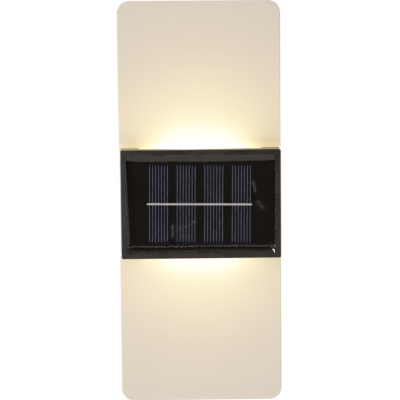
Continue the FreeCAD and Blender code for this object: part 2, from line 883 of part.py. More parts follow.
def choke_coil():
    """The axial choke: a dumb-bell body with its two wires bent down to the board."""
    depth = board_rear - choke_radius - choke_standoff
    body = along_x(choke_radius, choke_x - choke_length / 2, choke_x + choke_length / 2,
                   depth, choke_z)
    waist = along_x(2 * choke_radius, choke_x - choke_length / 4, choke_x + choke_length / 4,
                    depth, choke_z)
    waist = waist.cut(along_x(choke_waist_radius, choke_x - choke_length,
                              choke_x + choke_length, depth, choke_z))
    reach = choke_length / 2 + 3 * choke_lead_radius
    wire = along_x(choke_lead_radius, choke_x - reach, choke_x + reach, depth, choke_z)
    feet = [peg(choke_lead_radius, depth, board_rear, choke_x + side * reach, choke_z)
            for side in (-1, 1)]
    return join([body.cut(waist), wire] + feet)


# ---------------------------------------------------------------- leads

# Rows of solder pads on the control board, and the clear space behind the battery.
upper_pads = board_top - pad_row_inset
lower_pads = board_bottom + pad_row_inset
middle_pads = board_z - middle_pad_drop
behind_battery = (housing_back + battery_depth - battery_diameter / 2) / 2
clear_of_board = board_rear - lead_room_behind_board
solar_hole_z = board_bottom - lead_radius - solar_hole_room
solar_lead_holes = [(solar_lead_start + index * lead_pitch, solar_hole_z)
                    for index in (0, 1)]


def solar_lead(index):
    """From the back of the solar board, through the tray floor, round to the board."""
    x, hole_z = solar_lead_holes[index]
    return lead([(x, tray_bottom, hole_z), (x, clear_of_board, hole_z),
                 (x, clear_of_board, lower_pads), (x, board_rear, lower_pads)])


def battery_lead(side):
    """From a contact's tab, behind the cell, down to the board's end."""
    contact_x = right_contact_x if side > 0 else left_contact_x
    pad_x = side * (board_length / 2 - pad_end_inset)
    return lead([(contact_x, contact_tab_end, battery_z),
                 (contact_x, behind_battery, battery_z),
                 (pad_x, behind_battery, upper_pads), (pad_x, board_rear, upper_pads)])


def top_light_lead(index):
    """From the board's upper pads, behind the cell, up to the top light board."""
    x = top_lead_start + index * lead_pitch
    return lead([(x, board_rear, upper_pads), (x, behind_battery, upper_pads),
                 (x, behind_battery, led_board_back)])


def bottom_light_lead(index):
    """From the board's middle, down to the bottom light board."""
    x = -post_x + bottom_lead_post_room + index * lead_pitch
    return lead([(x, board_rear, middle_pads), (x, lens_middle, middle_pads),
                 (x, lens_middle, -led_board_back)])


def switch_lead(index):
    """From a switch pin, through the plate's port, to the board."""
    pin_x = (index - 1) * switch_pin_pitch
    pin_end = switch_front + switch_case_depth + switch_pin_length
    pad_x = pin_x - switch_pad_shift
    run = (board_rear - pin_end) / 3
    return lead([(pin_x, pin_end, switch_z), (pin_x, pin_end + run, switch_z),
                 (pad_x, pin_end + 2 * run, lower_pads), (pad_x, board_rear, lower_pads)])


# ---------------------------------------------------------------- all the pieces

pieces = {}
pieces["solar_backing_board"] = solar_backing_board()
cells = [solar_cell(x) for x in cell_places]
for number, cell in enumerate(cells, start=1):
    pieces["solar_cell_%d" % number] = cell
pieces["tab_ribbon"] = tab_ribbon()
pieces["solar_resin"] = solar_resin(cells + [pieces["tab_ribbon"]])
pieces["front_housing"] = front_housing()

for name, turned in (("top", False), ("bottom", True)):
    emitters = [light_emitter(side * led_spacing / 2) for side in (-1, 1)]
    pair = [lens(), light_board()] + emitters
    if turned:
        pair = [flipped(shape) for shape in pair]
    pieces["light_lens_%s" % name] = pair[0]
    pieces["light_board_%s" % name] = pair[1]
    pieces["led_%s_left" % name] = pair[2]
    pieces["led_%s_right" % name] = pair[3]

pieces["front_gasket"] = front_gasket()
pieces["diffuser_plate"] = diffuser_plate()
pieces["rear_gasket"] = rear_gasket()
pieces["rear_cover"] = rear_cover()
pieces["cover_screws"] = cover_screws()

pieces["switch_case"] = switch_case()
pieces["switch_slider"] = switch_slider()
pieces["switch_pins"] = switch_pins()
pieces["switch_screws"] = switch_screws()

pieces["battery_cell"] = battery_cell()
pieces["battery_cradle"] = battery_cradle()
pieces["battery_contact_plus"] = contact(right_contact_x)
pieces["battery_contact_minus"] = contact(left_contact_x)
pieces["battery_contact_spring"] = contact_spring()

pieces["control_board"] = control_board()
pieces["board_screws"] = board_screws()
pieces["driver_chip"] = driver_chip()
pieces["choke_coil"] = choke_coil()

for index, colour in enumerate(("red", "black")):
    pieces["solar_lead_%s" % colour] = solar_lead(index)
    pieces["top_light_lead_%s" % colour] = top_light_lead(index)
    pieces["bottom_light_lead_%s" % colour] = bottom_light_lead(index)
    pieces["switch_lead_%s" % colour] = switch_lead(index)
pieces["battery_lead_red"] = battery_lead(1)
pieces["battery_lead_black"] = battery_lead(-1)

print("spring: least gap to itself %.2f" % spring_gap_to_itself())
for node, shape in pieces.items():
    shape.exportStep("parts/%s.step" % node)
    print("%-24s solids %d valid %s volume %9.2f"
          % (node, len(shape.Solids), shape.isValid(), shape.Volume))
print("overall %.1f wide, %.1f tall, %.1f deep" % (plate_width, plate_height, rim_front))
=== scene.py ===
"""The looks of a solar fence light: a frosted plate lit from a black solar housing.

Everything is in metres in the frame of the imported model: +Z up, the light faces -Y, the
wall is the plane y = 0 and the origin is the middle of the rear cover's back.
"""
import json
import math

import bpy
import numpy as np
from mathutils import Matrix, Vector


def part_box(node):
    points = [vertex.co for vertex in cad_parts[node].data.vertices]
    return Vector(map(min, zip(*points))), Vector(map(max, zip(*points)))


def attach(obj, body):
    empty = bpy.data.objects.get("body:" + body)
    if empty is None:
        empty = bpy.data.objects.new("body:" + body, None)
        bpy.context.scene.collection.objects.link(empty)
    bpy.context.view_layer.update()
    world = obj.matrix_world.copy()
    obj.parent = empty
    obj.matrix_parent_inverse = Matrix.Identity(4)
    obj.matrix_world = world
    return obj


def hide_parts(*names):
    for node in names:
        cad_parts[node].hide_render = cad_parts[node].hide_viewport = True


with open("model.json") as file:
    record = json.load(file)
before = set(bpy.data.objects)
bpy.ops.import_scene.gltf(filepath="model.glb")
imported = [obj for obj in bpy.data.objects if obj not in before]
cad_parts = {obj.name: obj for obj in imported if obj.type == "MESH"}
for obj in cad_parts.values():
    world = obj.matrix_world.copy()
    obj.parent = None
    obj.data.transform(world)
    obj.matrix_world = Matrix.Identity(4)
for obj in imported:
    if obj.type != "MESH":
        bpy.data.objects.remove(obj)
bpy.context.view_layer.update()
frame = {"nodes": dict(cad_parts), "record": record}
MM = 0.001

# The string of cells lies askew on its board, turned clockwise about its own middle.
CELLS_TILT = math.radians(0.7)
CELLS_MIDDLE_X = -0.43 * MM

# The silver lines printed on each cell: how many there are and how far apart.
FINGERS = 7
FINGER_PITCH = 1.166 * MM

# How deep the resin is in the middle of the tray, away from its walls.
POOL_DEPTH = 0.9 * MM


def corners(node):
    """A node's lowest and highest corners at rest, as two arrays in metres."""
    low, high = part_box(node)
    return np.array(low), np.array(high)


def turned(points, angle):
    """Points turned by angle about the cell string's middle, clockwise from the front."""
    x = points[..., 0] - CELLS_MIDDLE_X
    z = points[..., 2]
    across = CELLS_MIDDLE_X + x * math.cos(angle) + z * math.sin(angle)
    up = z * math.cos(angle) - x * math.sin(angle)
    return np.stack([across, points[..., 1], up], axis=-1)


def upright_corners(node):
    """The corners of a cell or of the ribbon, with the string's tilt taken out."""
    mesh = frame["nodes"][node].data
    points = np.empty(len(mesh.vertices) * 3)
    mesh.vertices.foreach_get("co", points)
    upright = turned(points.reshape(-1, 3), -CELLS_TILT)
    return upright.min(axis=0), upright.max(axis=0)


# ---------------------------------------------------------------- sizes from the frame

plate_low, plate_high = corners("diffuser_plate")
resin_low, resin_high = corners("solar_resin")
ribbon_low, ribbon_high = upright_corners("tab_ribbon")
cells = [upright_corners("solar_cell_%d" % number) for number in (1, 2, 3, 4)]
led_low, led_high = corners("led_top_right")

plate_front = plate_low[1]
plate_thickness = plate_high[1] - plate_low[1]
board_front = corners("solar_backing_board")[0][1]
half_housing = corners("front_housing")[1][2]
cell_top = cells[0][1][2]
led_middle = (led_low + led_high) / 2
battery_shoulder = corners("battery_cell")[1][0] - 1.0 * MM
resin_middle = (resin_low + resin_high) / 2
resin_half = (resin_high - resin_low) / 2


# ---------------------------------------------------------------- finishes: the tools

class Field:
    """A number at every point of a surface, so that a pattern is written as a sum."""

    def __init__(self, bench, socket):
        self.bench = bench
        self.socket = socket

    def _math(self, operation, *others):
        node = self.bench.add("ShaderNodeMath", operation=operation)
        for place, value in zip(node.inputs, (self,) + others):
            if isinstance(value, Field):
                self.bench.link(value.socket, place)
            else:
                place.default_value = value
        return Field(self.bench, node.outputs[0])

    def __add__(self, other):
        return self._math("ADD", other)

    def __sub__(self, other):
        return self._math("SUBTRACT", other)

    def __mul__(self, other):
        return self._math("MULTIPLY", other)

    def __truediv__(self, other):
        return self._math("DIVIDE", other)

    __radd__ = __add__
    __rmul__ = __mul__

    def __rsub__(self, other):
        return self * -1.0 + other

    def __abs__(self):
        return self._math("ABSOLUTE")

    def squared(self):
        return self._math("MULTIPLY", self)

    def root(self):
        return self._math("SQRT")

    def bell(self):
        """exp(-value)."""
        return (self * -1.0)._math("EXPONENT")

    def levelled(self, most):
        """The value while it is small, levelling off at most: most * tanh(value / most)."""
        return (self / most)._math("TANH") * most

    def largest(self, other):
        return self._math("MAXIMUM", other)

    def smallest(self, other):
        return self._math("MINIMUM", other)

    def held(self, low, high):
        """The value, kept between low and high."""
        return self.largest(low).smallest(high)

    def repeat(self, pitch):
        """The distance to the nearest multiple of pitch."""
        return abs(self._math("WRAP", pitch / 2, -pitch / 2))

    def ramp(self, start, end):
        """0 up to start, 1 from end on, smooth in between; start may be the higher one."""
        node = self.bench.add("ShaderNodeMapRange", interpolation_type="SMOOTHSTEP")
        self.bench.link(self.socket, node.inputs["Value"])
        node.inputs["From Min"].default_value = start
        node.inputs["From Max"].default_value = end
        return Field(self.bench, node.outputs["Result"])


class Bench:
    """A node tree with short calls for the nodes that patterns are made of."""

    def __init__(self, tree, coordinates):
        self.tree = tree
        self.nodes = tree.nodes
        self.coordinates = self.add("ShaderNodeTexCoord").outputs[coordinates]

    def add(self, kind, **settings):
        node = self.nodes.new(kind)
        for name, value in settings.items():
            setattr(node, name, value)
        return node

    def link(self, source, target):
        self.tree.links.new(source, target)

    def position(self):
        """The three parts of a point, or of a direction in a world, as fields."""
        split = self.add("ShaderNodeSeparateXYZ")
        self.link(self.coordinates, split.inputs[0])
        return [Field(self, output) for output in split.outputs]

    def noise(self, size, detail=3.0, stretch=(1.0, 1.0, 1.0)):
        """Soft random values about 0.5, in lumps of the given size in metres."""
        mapping = self.add("ShaderNodeMapping")
        mapping.inputs["Scale"].default_value = [1.0 / (size * part) for part in stretch]
        self.link(self.coordinates, mapping.inputs["Vector"])
        node = self.add("ShaderNodeTexNoise")
        node.inputs["Scale"].default_value = 1.0
        node.inputs["Detail"].default_value = detail
        self.link(mapping.outputs[0], node.inputs["Vector"])
        return Field(self, node.outputs["Fac"])

    def specks(self, spacing, share):
        """1 inside scattered round specks, whose radius is a share of spacing; 0 elsewhere."""
        mapping = self.add("ShaderNodeMapping")
        mapping.inputs["Scale"].default_value = [1.0 / spacing] * 3
        self.link(self.coordinates, mapping.inputs["Vector"])
        node = self.add("ShaderNodeTexVoronoi")
        node.inputs["Scale"].default_value = 1.0
        self.link(mapping.outputs[0], node.inputs["Vector"])
        return 1.0 - Field(self, node.outputs["Distance"]).ramp(share * 0.6, share)

    def mix(self, amount, under, over):
        """The colour under where amount is 0 and over where it is 1."""
        node = self.add("ShaderNodeMix", data_type="RGBA")
        self.link(amount.socket, node.inputs["Factor"])
        for place, colour in (("A", under), ("B", over)):
            if isinstance(colour, tuple):
                node.inputs[place].default_value = (*colour, 1.0)
            else:
                self.link(colour, node.inputs[place])
        return node.outputs["Result"]


class Finish(Bench):
    """A material on one Principled shader, patterned on Object coordinates in metres."""

    def __init__(self, name, colour, roughness, **sockets):
        self.material = bpy.data.materials.new(name)
        self.material.use_nodes = True
        super().__init__(self.material.node_tree, "Object")
        self.shader = self.nodes["Principled BSDF"]
        self.colour = colour
        self.set(Base_Color=(*colour, 1.0), Roughness=roughness, **sockets)

    def set(self, **sockets):
        """Give the shader plain values; an underscore stands for a space."""
        for name, value in sockets.items():
            self.shader.inputs[name.replace("_", " ")].default_value = value

    def blend(self, amount, colour, under=None):
        """Lay colour over what is there, by amount from 0 to 1; returns the new colour."""
        return self.mix(amount, self.colour if under is None else under, colour)

    def paint(self, colour):
        """Drive the base colour."""
        self.link(colour, self.shader.inputs["Base Color"])

    def rough(self, amount):
        """Drive the roughness."""
        self.link(amount.socket, self.shader.inputs["Roughness"])

    def bump(self, height, depth):
        """Raise the surface by height, from 0 to 1, times depth in metres."""
        node = self.add("ShaderNodeBump")
        node.inputs["Distance"].default_value = depth
        node.inputs["Strength"].default_value = 1.0
        self.link(height.socket, node.inputs["Height"])
        self.link(node.outputs[0], self.shader.inputs["Normal"])

    def glow(self, colour, strength):
        """Give off light of one colour, as strong as the field strength."""
        self.set(Emission_Color=(*colour, 1.0))
        self.link(strength.socket, self.shader.inputs["Emission Strength"])

    def shine(self, red, green, blue):
        """Give off light whose red, green and blue are each a field."""
        whole = self.add("ShaderNodeCombineColor")
        for place, part in zip(whole.inputs, (red, green, blue)):
            self.link(part.socket, place)
        self.link(whole.outputs[0], self.shader.inputs["Emission Color"])
        self.set(Emission_Strength=1.0)


def tint(colour, factor):
    """The same colour, lighter or darker."""
    return tuple(min(1.0, part * factor) for part in colour)


def coat_slot(slot, finish):
    """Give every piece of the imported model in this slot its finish."""
    for node in frame["record"]["subparts"]:
        if node["material_slot"] != slot:
            continue
        piece = frame["nodes"][node["node"]]
        for place in piece.material_slots:
            place.material = finish.material


# ---------------------------------------------------------------- finishes: the light

WHITE = (1.0, 1.0, 1.0)
PLATE_CREAM = (0.695, 0.638, 0.562)

# The glow on the plate: where it seems to start, its colours, strengths and reaches.
LED_FOOT_X = 6.8 * MM
LED_FOOT_DEPTH = 4.5 * MM
NEAR_LIGHT = (0.93, 0.72, 0.66)
NEAR_STRENGTH = 2.4
NEAR_REACH = 8.7 * MM
FAR_LIGHT = (1.08, 0.76, 0.28)
FAR_STRENGTH = 0.74
FAR_REACH = 17.0 * MM
WASH_STRENGTH = 0.087
WASH_REACH = 25.3 * MM
BRIGHTEST_GLOW = (0.322, 0.395, 0.53)
EDGE_STRENGTH = 0.75
EDGE_HEIGHT = 1.6 * MM
BACK_LIGHT = (0.46, 0.34, 0.175)
LOWER_PAIR = 0.9
HIDDEN_FADE = 1.6


def frosted_plate():
    """Cream frosted acrylic that glows above and below the housing.

    With d the height beyond the housing's edge and r the distance from an LED's foot,
    LED_FOOT_DEPTH inside that edge, the near glow is the sum over both LEDs of
    NEAR_STRENGTH * exp(-(r / NEAR_REACH)^2). The far glow, which the acrylic has made
    warmer, is that of FAR_STRENGTH * exp(-r / FAR_REACH), and a bell about the middle of
    the edge, the wash. Their sum g levels off towards white, as bright light does in a
    photograph, but just above the housing EDGE_STRENGTH * g * exp(-(d / EDGE_HEIGHT)^2)
    comes back. Behind the housing the glow fades away again, HIDDEN_FADE times as fast,
    and the lower pair is weaker. The back of the plate has a plain warm glow.
    """
    finish = Finish("frosted acrylic", PLATE_CREAM, 0.5, IOR=1.49)
    x, y, z = finish.position()
    beyond = abs(z) - half_housing
    away = beyond.largest(beyond * -HIDDEN_FADE) + LED_FOOT_DEPTH
    reaches = [((x - side * LED_FOOT_X).squared() + away.squared()).root()
               for side in (-1.0, 1.0)]
    near = sum((reach / NEAR_REACH).squared().bell() for reach in reaches) * NEAR_STRENGTH
    far = sum((reach / FAR_REACH).bell() for reach in reaches) * FAR_STRENGTH
    wash = ((x.squared() + away.squared()) / WASH_REACH ** 2).bell() * WASH_STRENGTH
    far = far + wash
    upper = z.ramp(-5 * MM, 5 * MM)
    edge = (beyond.largest(0.0) / EDGE_HEIGHT).squared().bell() * upper * EDGE_STRENGTH
    pair = LOWER_PAIR + upper * (1.0 - LOWER_PAIR)
    back = ((y - plate_front) / plate_thickness).ramp(0.0, 1.0)
    parts = []
    for near_part, far_part, back_part, most in zip(NEAR_LIGHT, FAR_LIGHT, BACK_LIGHT,
                                                    BRIGHTEST_GLOW):
        glow = near * near_part + far * far_part
        front_glow = glow.levelled(most) + glow * edge
        back_glow = (near + far) * back_part
        parts.append((front_glow * (1.0 - back) + back_glow * back) * pair)
    finish.shine(*parts)
    grain = finish.noise(0.35 * MM, 2.0)
    cloud = finish.noise(18 * MM, 2.0)
    finish.paint(finish.blend(cloud.ramp(0.3, 0.8) * 0.35, tint(PLATE_CREAM, 0.96)))
    finish.rough(0.44 + grain * 0.14)
    finish.bump(grain, 0.004 * MM)
    return finish


def window_lens():
    """Frosted strip, brightest over the two LEDs behind it."""
    finish = Finish("frosted window strip", (0.9, 0.84, 0.66), 0.45,
                    Specular_IOR_Level=0.2)
    x, y, z = finish.position()
    spot_reach = 7.0 * MM
    spots = sum(((x - side * led_middle[0]) / spot_reach).squared().bell()
                for side in (-1.0, 1.0))
    finish.glow((1.0, 0.84, 0.42), spots * 0.8 + 1.2)
    grain = finish.noise(0.3 * MM, 2.0)
    finish.rough(0.38 + grain * 0.16)
    finish.bump(grain, 0.003 * MM)
    return finish


def led_package():
    """White package round a lit yellow phosphor face."""
    finish = Finish("LED package", (0.82, 0.8, 0.74), 0.4)
    x, y, z = finish.position()
    half_face_x, half_face_y = 1.25 * MM, 0.95 * MM
    inner = ((abs(x) - led_middle[0]) / half_face_x).squared()
    inner = inner + ((y - led_middle[1]) / half_face_y).squared()
    face = 1.0 - inner.ramp(0.7, 1.15)
    finish.paint(finish.blend(face, (0.95, 0.68, 0.16)))
    finish.glow((1.0, 0.74, 0.4), face * 4.0)
    finish.rough(0.32 + finish.noise(0.2 * MM) * 0.15)
    return finish


# ---------------------------------------------------------------- finishes: the panel

def silicon():
    """Navy antireflection film over silicon, a little mottled, dull at its cut edges."""
    finish = Finish("silicon cell", (0.0073, 0.0075, 0.0138), 0.3, Specular_IOR_Level=0.0)
    x, y, z = finish.position()
    mottle = finish.noise(2.4 * MM, 4.0)
    streak = finish.noise(0.5 * MM, 3.0, (1.0, 1.0, 14.0))
    shade = (mottle * 0.7 + streak * 0.3).ramp(0.35, 0.68)
    colour = finish.blend(shade, (0.0113, 0.0115, 0.021))
    along = z + (x - CELLS_MIDDLE_X) * math.tan(CELLS_TILT)
    dull_edge = 0.35 * MM
    edge = (abs(along) - (cell_top - dull_edge)).ramp(0.0, 0.3 * MM)
    finish.paint(finish.blend(edge * 0.5, (0.02, 0.023, 0.034), colour))
    finish.rough(0.24 + mottle * 0.16)
    finish.bump(streak, 0.002 * MM)
    return finish


def silver_print():
    """Fired silver paste: grey, matt and a little uneven along each line."""
    finish = Finish("printed silver", (0.215, 0.218, 0.26), 0.5, Metallic=0.35)
    patch = finish.noise(0.9 * MM, 3.0, (1.0, 1.0, 2.0))
    finish.paint(finish.blend(patch.ramp(0.3, 0.75), (0.135, 0.136, 0.163)))
    finish.rough(0.42 + patch * 0.2)
    return finish


def tinned_ribbon():
    """Dipped tin over copper, streaked along its length."""
    finish = Finish("tinned ribbon", (0.59, 0.57, 0.575), 0.42, Metallic=0.4)
    streak = finish.noise(0.3 * MM, 4.0, (10.0, 1.0, 1.0))
    patch = finish.noise(1.6 * MM, 2.0)
    finish.paint(finish.blend((streak * patch * 2.0).ramp(0.2, 0.8), (0.46, 0.435, 0.435)))
    finish.rough(0.34 + streak * 0.22)
    finish.bump(streak, 0.01 * MM)
    return finish


def panel_board():
    """Black solder mask, faintly brown, with a haze where flux was wiped."""
    finish = Finish("black solder mask", (0.0106, 0.0076, 0.0062), 0.5,
                    Specular_IOR_Level=0.0)
    weave = finish.noise(1.4 * MM, 4.0)
    cloud = finish.noise(9.0 * MM, 2.0)
    colour = finish.blend(weave.ramp(0.45, 0.75) * 0.5, (0.0138, 0.01, 0.008))
    finish.paint(finish.blend(cloud.ramp(0.5, 0.8) * 0.3, (0.009, 0.009, 0.0068), colour))
    finish.rough(0.4 + weave * 0.15)
    finish.bump(weave, 0.006 * MM)
    return finish


# The smears in the resin's skin: start, end and width in millimetres, and how dull.
SMEARS = [
    ((20.5, 8.3), (21.2, 4.8), 0.45, 0.75),
    ((22.2, 0.5), (24.2, -1.6), 1.1, 0.26),
    ((-11.2, -8.6), (-11.3, -12.8), 1.2, 0.26),
    ((-8.4, -9.8), (-2.6, -7.0), 1.1, 0.24),
    ((-8.2, -12.4), (-4.7, -13.4), 0.9, 0.2),
]


def smear(x, z, start, end, width):
    """A soft stroke from start to end: a bell of the distance to that line, 1 along it."""
    run_x, run_z = end[0] - start[0], end[1] - start[1]
    length = math.hypot(run_x, run_z)
    from_x, from_z = x - start[0] * MM, z - start[1] * MM
    share = ((from_x * run_x + from_z * run_z) / (length ** 2 * MM)).held(0.0, 1.0)
    off_x = from_x - share * (run_x * MM)
    off_z = from_z - share * (run_z * MM)
    return ((off_x.squared() + off_z.squared()) / (width * MM) ** 2).bell()


def clear_resin():
    """Potting resin: water clear but for a breath of haze and a few dull smears.

    It lets lamps through to the cells.
    """
    finish = Finish("clear potting resin", (0.98, 0.98, 0.985), 0.03,
                    Transmission_Weight=1.0, IOR=1.5)
    x, y, z = finish.position()
    haze = finish.noise(6.0 * MM, 3.0).ramp(0.5, 0.85) * 0.05
    dull = sum(smear(x, z, start, end, width) * strength
               for start, end, width, strength in SMEARS)
    finish.rough(haze + dull + 0.015)
    finish.bump(finish.noise(7.0 * MM, 1.0), 0.012 * MM)
    path = finish.add("ShaderNodeLightPath")
    clear = finish.add("ShaderNodeBsdfTransparent")
    choice = finish.add("ShaderNodeMixShader")
    finish.link(path.outputs["Is Shadow Ray"], choice.inputs["Fac"])
    finish.link(finish.shader.outputs[0], choice.inputs[1])
    finish.link(clear.outputs[0], choice.inputs[2])
    finish.link(choice.outputs[0], finish.nodes["Material Output"].inputs["Surface"])
    return finish


# ---------------------------------------------------------------- finishes: the case

def moulded(name, colour, roughness, grain_size, grain_depth, dust=0.0):
    """Moulded plastic: a fine spark texture, patches of wear and a little dust."""
    finish = Finish(name, colour, roughness)
    grain = finish.noise(grain_size, 2.0)
    patch = finish.noise(11.0 * MM, 3.0)
    rubbed = finish.noise(1.2 * MM, 4.0, (6.0, 1.0, 1.0))
    shade = (patch * 0.6 + rubbed * 0.4).ramp(0.4, 0.7)
    painted = finish.blend(shade * 0.6, tint(colour, 1.35))
    if dust:
        specks = finish.specks(1.7 * MM, 0.07) * dust
        painted = finish.blend(specks, (0.22, 0.21, 0.2), painted)
    finish.paint(painted)
    finish.rough(roughness - 0.05 + patch.ramp(0.3, 0.7) * 0.08 + grain * 0.04)
    finish.bump(grain, grain_depth)
    return finish


def rubber_sheet():
    """Closed-cell rubber: dull, with fine pores."""
    finish = Finish("gasket rubber", (0.012, 0.012, 0.012), 0.8)
    pores = finish.specks(0.35 * MM, 0.3)
    finish.paint(finish.blend(pores * 0.7, (0.005, 0.005, 0.005)))
    finish.rough(0.72 + finish.noise(0.6 * MM) * 0.2)
    finish.bump(1.0 - pores, 0.03 * MM)
    return finish


def plated(name, colour, roughness):
    """Plated steel: soft brushing, slightly dulled in patches."""
    finish = Finish(name, colour, roughness, Metallic=1.0)
    brush = finish.noise(0.12 * MM, 3.0, (8.0, 1.0, 1.0))
    patch = finish.noise(1.5 * MM, 3.0)
    finish.paint(finish.blend(patch.ramp(0.4, 0.75) * 0.6, tint(colour, 0.72)))
    finish.rough(roughness - 0.06 + brush * 0.14 + patch * 0.06)
    finish.bump(brush, 0.003 * MM)
    return finish


def circuit_board(name, colour, trace):
    """Solder mask over copper: faint tracks show as a lighter, slightly raised net."""
    finish = Finish(name, colour, 0.3)
    x, y, z = finish.position()
    outer, inner = 0.42 * MM, 0.3 * MM
    along = x.repeat(2.1 * MM).ramp(outer, inner)
    across = z.repeat(3.3 * MM).ramp(outer, inner)
    net = along.largest(across) * finish.noise(5.0 * MM, 1.0).ramp(0.45, 0.5)
    finish.paint(finish.blend(net, trace))
    finish.rough(0.26 + finish.noise(0.8 * MM) * 0.12)
    finish.bump(net, 0.03 * MM)
    return finish


def sleeve():
    """The cell's shrunk plastic sleeve, with bare metal at the plus end."""
    finish = Finish("cell sleeve", (0.03, 0.16, 0.05), 0.28)
    x, y, z = finish.position()
    bare = x.ramp(battery_shoulder - 0.1 * MM, battery_shoulder)
    finish.paint(finish.blend(bare, (0.62, 0.62, 0.6)))
    finish.link(bare.socket, finish.shader.inputs["Metallic"])
    crease = finish.noise(1.3 * MM, 3.0, (5.0, 1.0, 1.0))
    finish.rough(0.22 + crease * 0.15)
    finish.bump(crease, 0.03 * MM)
    return finish


def choke_lacquer():
    """Green lacquer with colour rings on the body and tinned wire ends."""
    finish = Finish("choke lacquer", (0.06, 0.24, 0.11), 0.3)
    choke_low, choke_high = corners("choke_coil")
    middle = (choke_low[0] + choke_high[0]) / 2
    x, y, z = finish.position()
    along = x - middle
    ring_pitch = 1.4 * MM
    body = abs(along).ramp(2.3 * MM, 2.2 * MM)
    rings = along.repeat(ring_pitch).ramp(0.3 * MM, 0.24 * MM) * body
    colour = finish.blend(rings, (0.35, 0.16, 0.05))
    wire = abs(along).ramp(3.2 * MM, 3.3 * MM)
    finish.paint(finish.blend(wire, (0.6, 0.6, 0.58), colour))
    finish.link(wire.socket, finish.shader.inputs["Metallic"])
    finish.rough(0.25 + finish.noise(0.7 * MM) * 0.12)
    return finish


def insulation(name, colour):
    """Soft PVC round a lead: a satin skin with faint drawing lines."""
    finish = Finish(name, colour, 0.42)
    lines = finish.noise(0.25 * MM, 3.0, (1.0, 6.0, 1.0))
    finish.paint(finish.blend(lines.ramp(0.4, 0.7) * 0.5, tint(colour, 0.7)))
    finish.rough(0.36 + lines * 0.14)
    finish.bump(lines, 0.01 * MM)
    return finish


HOUSING_BLACK = (0.0172, 0.011, 0.0072)

finishes = {
    "housing_abs": moulded("housing ABS", HOUSING_BLACK, 0.25, 0.22 * MM, 0.002 * MM, 0.25),
    "cover_abs": moulded("rear cover ABS", (0.017, 0.0125, 0.0095), 0.5, 0.3 * MM, 0.012 * MM),
    "frosted_acrylic": frosted_plate(),
    "solar_board_black": panel_board(),
    "silicon": silicon(),
    "tinned_copper": tinned_ribbon(),
    "clear_resin": clear_resin(),
    "frosted_lens": window_lens(),
    "led_package": led_package(),
    "circuit_board": circuit_board("green solder mask", (0.01, 0.12, 0.035),
                                   (0.02, 0.19, 0.06)),
    "light_board_white": circuit_board("white solder mask", (0.72, 0.73, 0.7),
                                       (0.66, 0.64, 0.58)),
    "gasket_rubber": rubber_sheet(),
    "plated_steel": plated("zinc-plated steel", (0.58, 0.58, 0.57), 0.34),
    "spring_steel": plated("nickel-plated spring steel", (0.66, 0.63, 0.58), 0.28),
    "switch_black": moulded("switch nylon", (0.02, 0.02, 0.021), 0.5, 0.2 * MM, 0.006 * MM),
    "slider_white": moulded("slider acetal", (0.68, 0.67, 0.64), 0.4, 0.25 * MM,
                            0.004 * MM),
    "tinned_pin": plated("tinned brass pin", (0.62, 0.58, 0.46), 0.35),
    "battery_sleeve": sleeve(),
    "cradle_black": moulded("cradle ABS", (0.02, 0.02, 0.02), 0.45, 0.3 * MM, 0.01 * MM),
    "chip_black": moulded("chip epoxy", (0.014, 0.014, 0.015), 0.55, 0.1 * MM, 0.004 * MM),
    "choke_green": choke_lacquer(),
    "lead_red": insulation("red insulation", (0.42, 0.02, 0.02)),
    "lead_black": insulation("black insulation", (0.014, 0.014, 0.014)),
}
for slot, finish in finishes.items():
    coat_slot(slot, finish)


# ---------------------------------------------------------------- surfaces

def new_piece(name, points, faces, finish, body="light"):
    """A smooth mesh piece from an array of points and an array of four-cornered faces."""
    mesh = bpy.data.meshes.new(name)
    mesh.vertices.add(len(points))
    mesh.vertices.foreach_set("co", np.asarray(points, dtype=np.float32).ravel())
    mesh.loops.add(faces.size)
    mesh.loops.foreach_set("vertex_index", faces.astype(np.int32).ravel())
    mesh.polygons.add(len(faces))
    starts = np.arange(len(faces), dtype=np.int32) * faces.shape[1]
    mesh.polygons.foreach_set("loop_start", starts)
    mesh.polygons.foreach_set("use_smooth", np.full(len(faces), True))
    mesh.update(calc_edges=True)
    mesh.validate()
    piece = bpy.data.objects.new(name, mesh)
    bpy.context.collection.objects.link(piece)
    mesh.materials.append(finish.material)
    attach(piece, body)
    return piece


def grid_faces(rows, columns, offset=0):
    """The four-cornered faces of a grid of points stored row by row."""
    row, column = np.meshgrid(np.arange(rows - 1), np.arange(columns - 1), indexing="ij")
    first = (row * columns + column).ravel() + offset
    return np.stack([first, first + columns, first + columns + 1, first + 1], axis=1)


def slab_faces(rows, columns):
    """The faces of a closed slab: a front grid, a back grid and a skirt between them."""
    count = rows * columns
    front = grid_faces(rows, columns)
    back = grid_faces(rows, columns, count)[:, ::-1]
    index = np.arange(count).reshape(rows, columns)
    loop = np.concatenate([index[0, :-1], index[:-1, -1], index[-1, :0:-1], index[:0:-1, 0]])
    after = np.roll(loop, -1)
    skirt = np.stack([loop, after, after + count, loop + count], axis=1)
    return np.concatenate([front, back, skirt])


def crowded(count, power=1.6):
    """Numbers from -1 to 1 that crowd towards both ends."""
    even = np.linspace(-1.0, 1.0, count)
    return np.sign(even) * (1.0 - (1.0 - np.abs(even)) ** power)


def corner_webs(rise, from_end, from_bottom):
    """The rise of the resin's skin, with a web of resin added in both lower corners.

    A web falls evenly along its corner's diagonal and is a shallow parabola across it.
    """
    reach = 2.5 * MM
    slope = 0.45
    bow = 0.05 / MM
    diagonal = (from_end + from_bottom) / math.sqrt(2.0)
    across_it = (from_end - from_bottom) / math.sqrt(2.0)
    web = slope * (reach - diagonal) + bow * across_it ** 2
    return np.where(diagonal < reach, np.maximum(rise, web), rise)


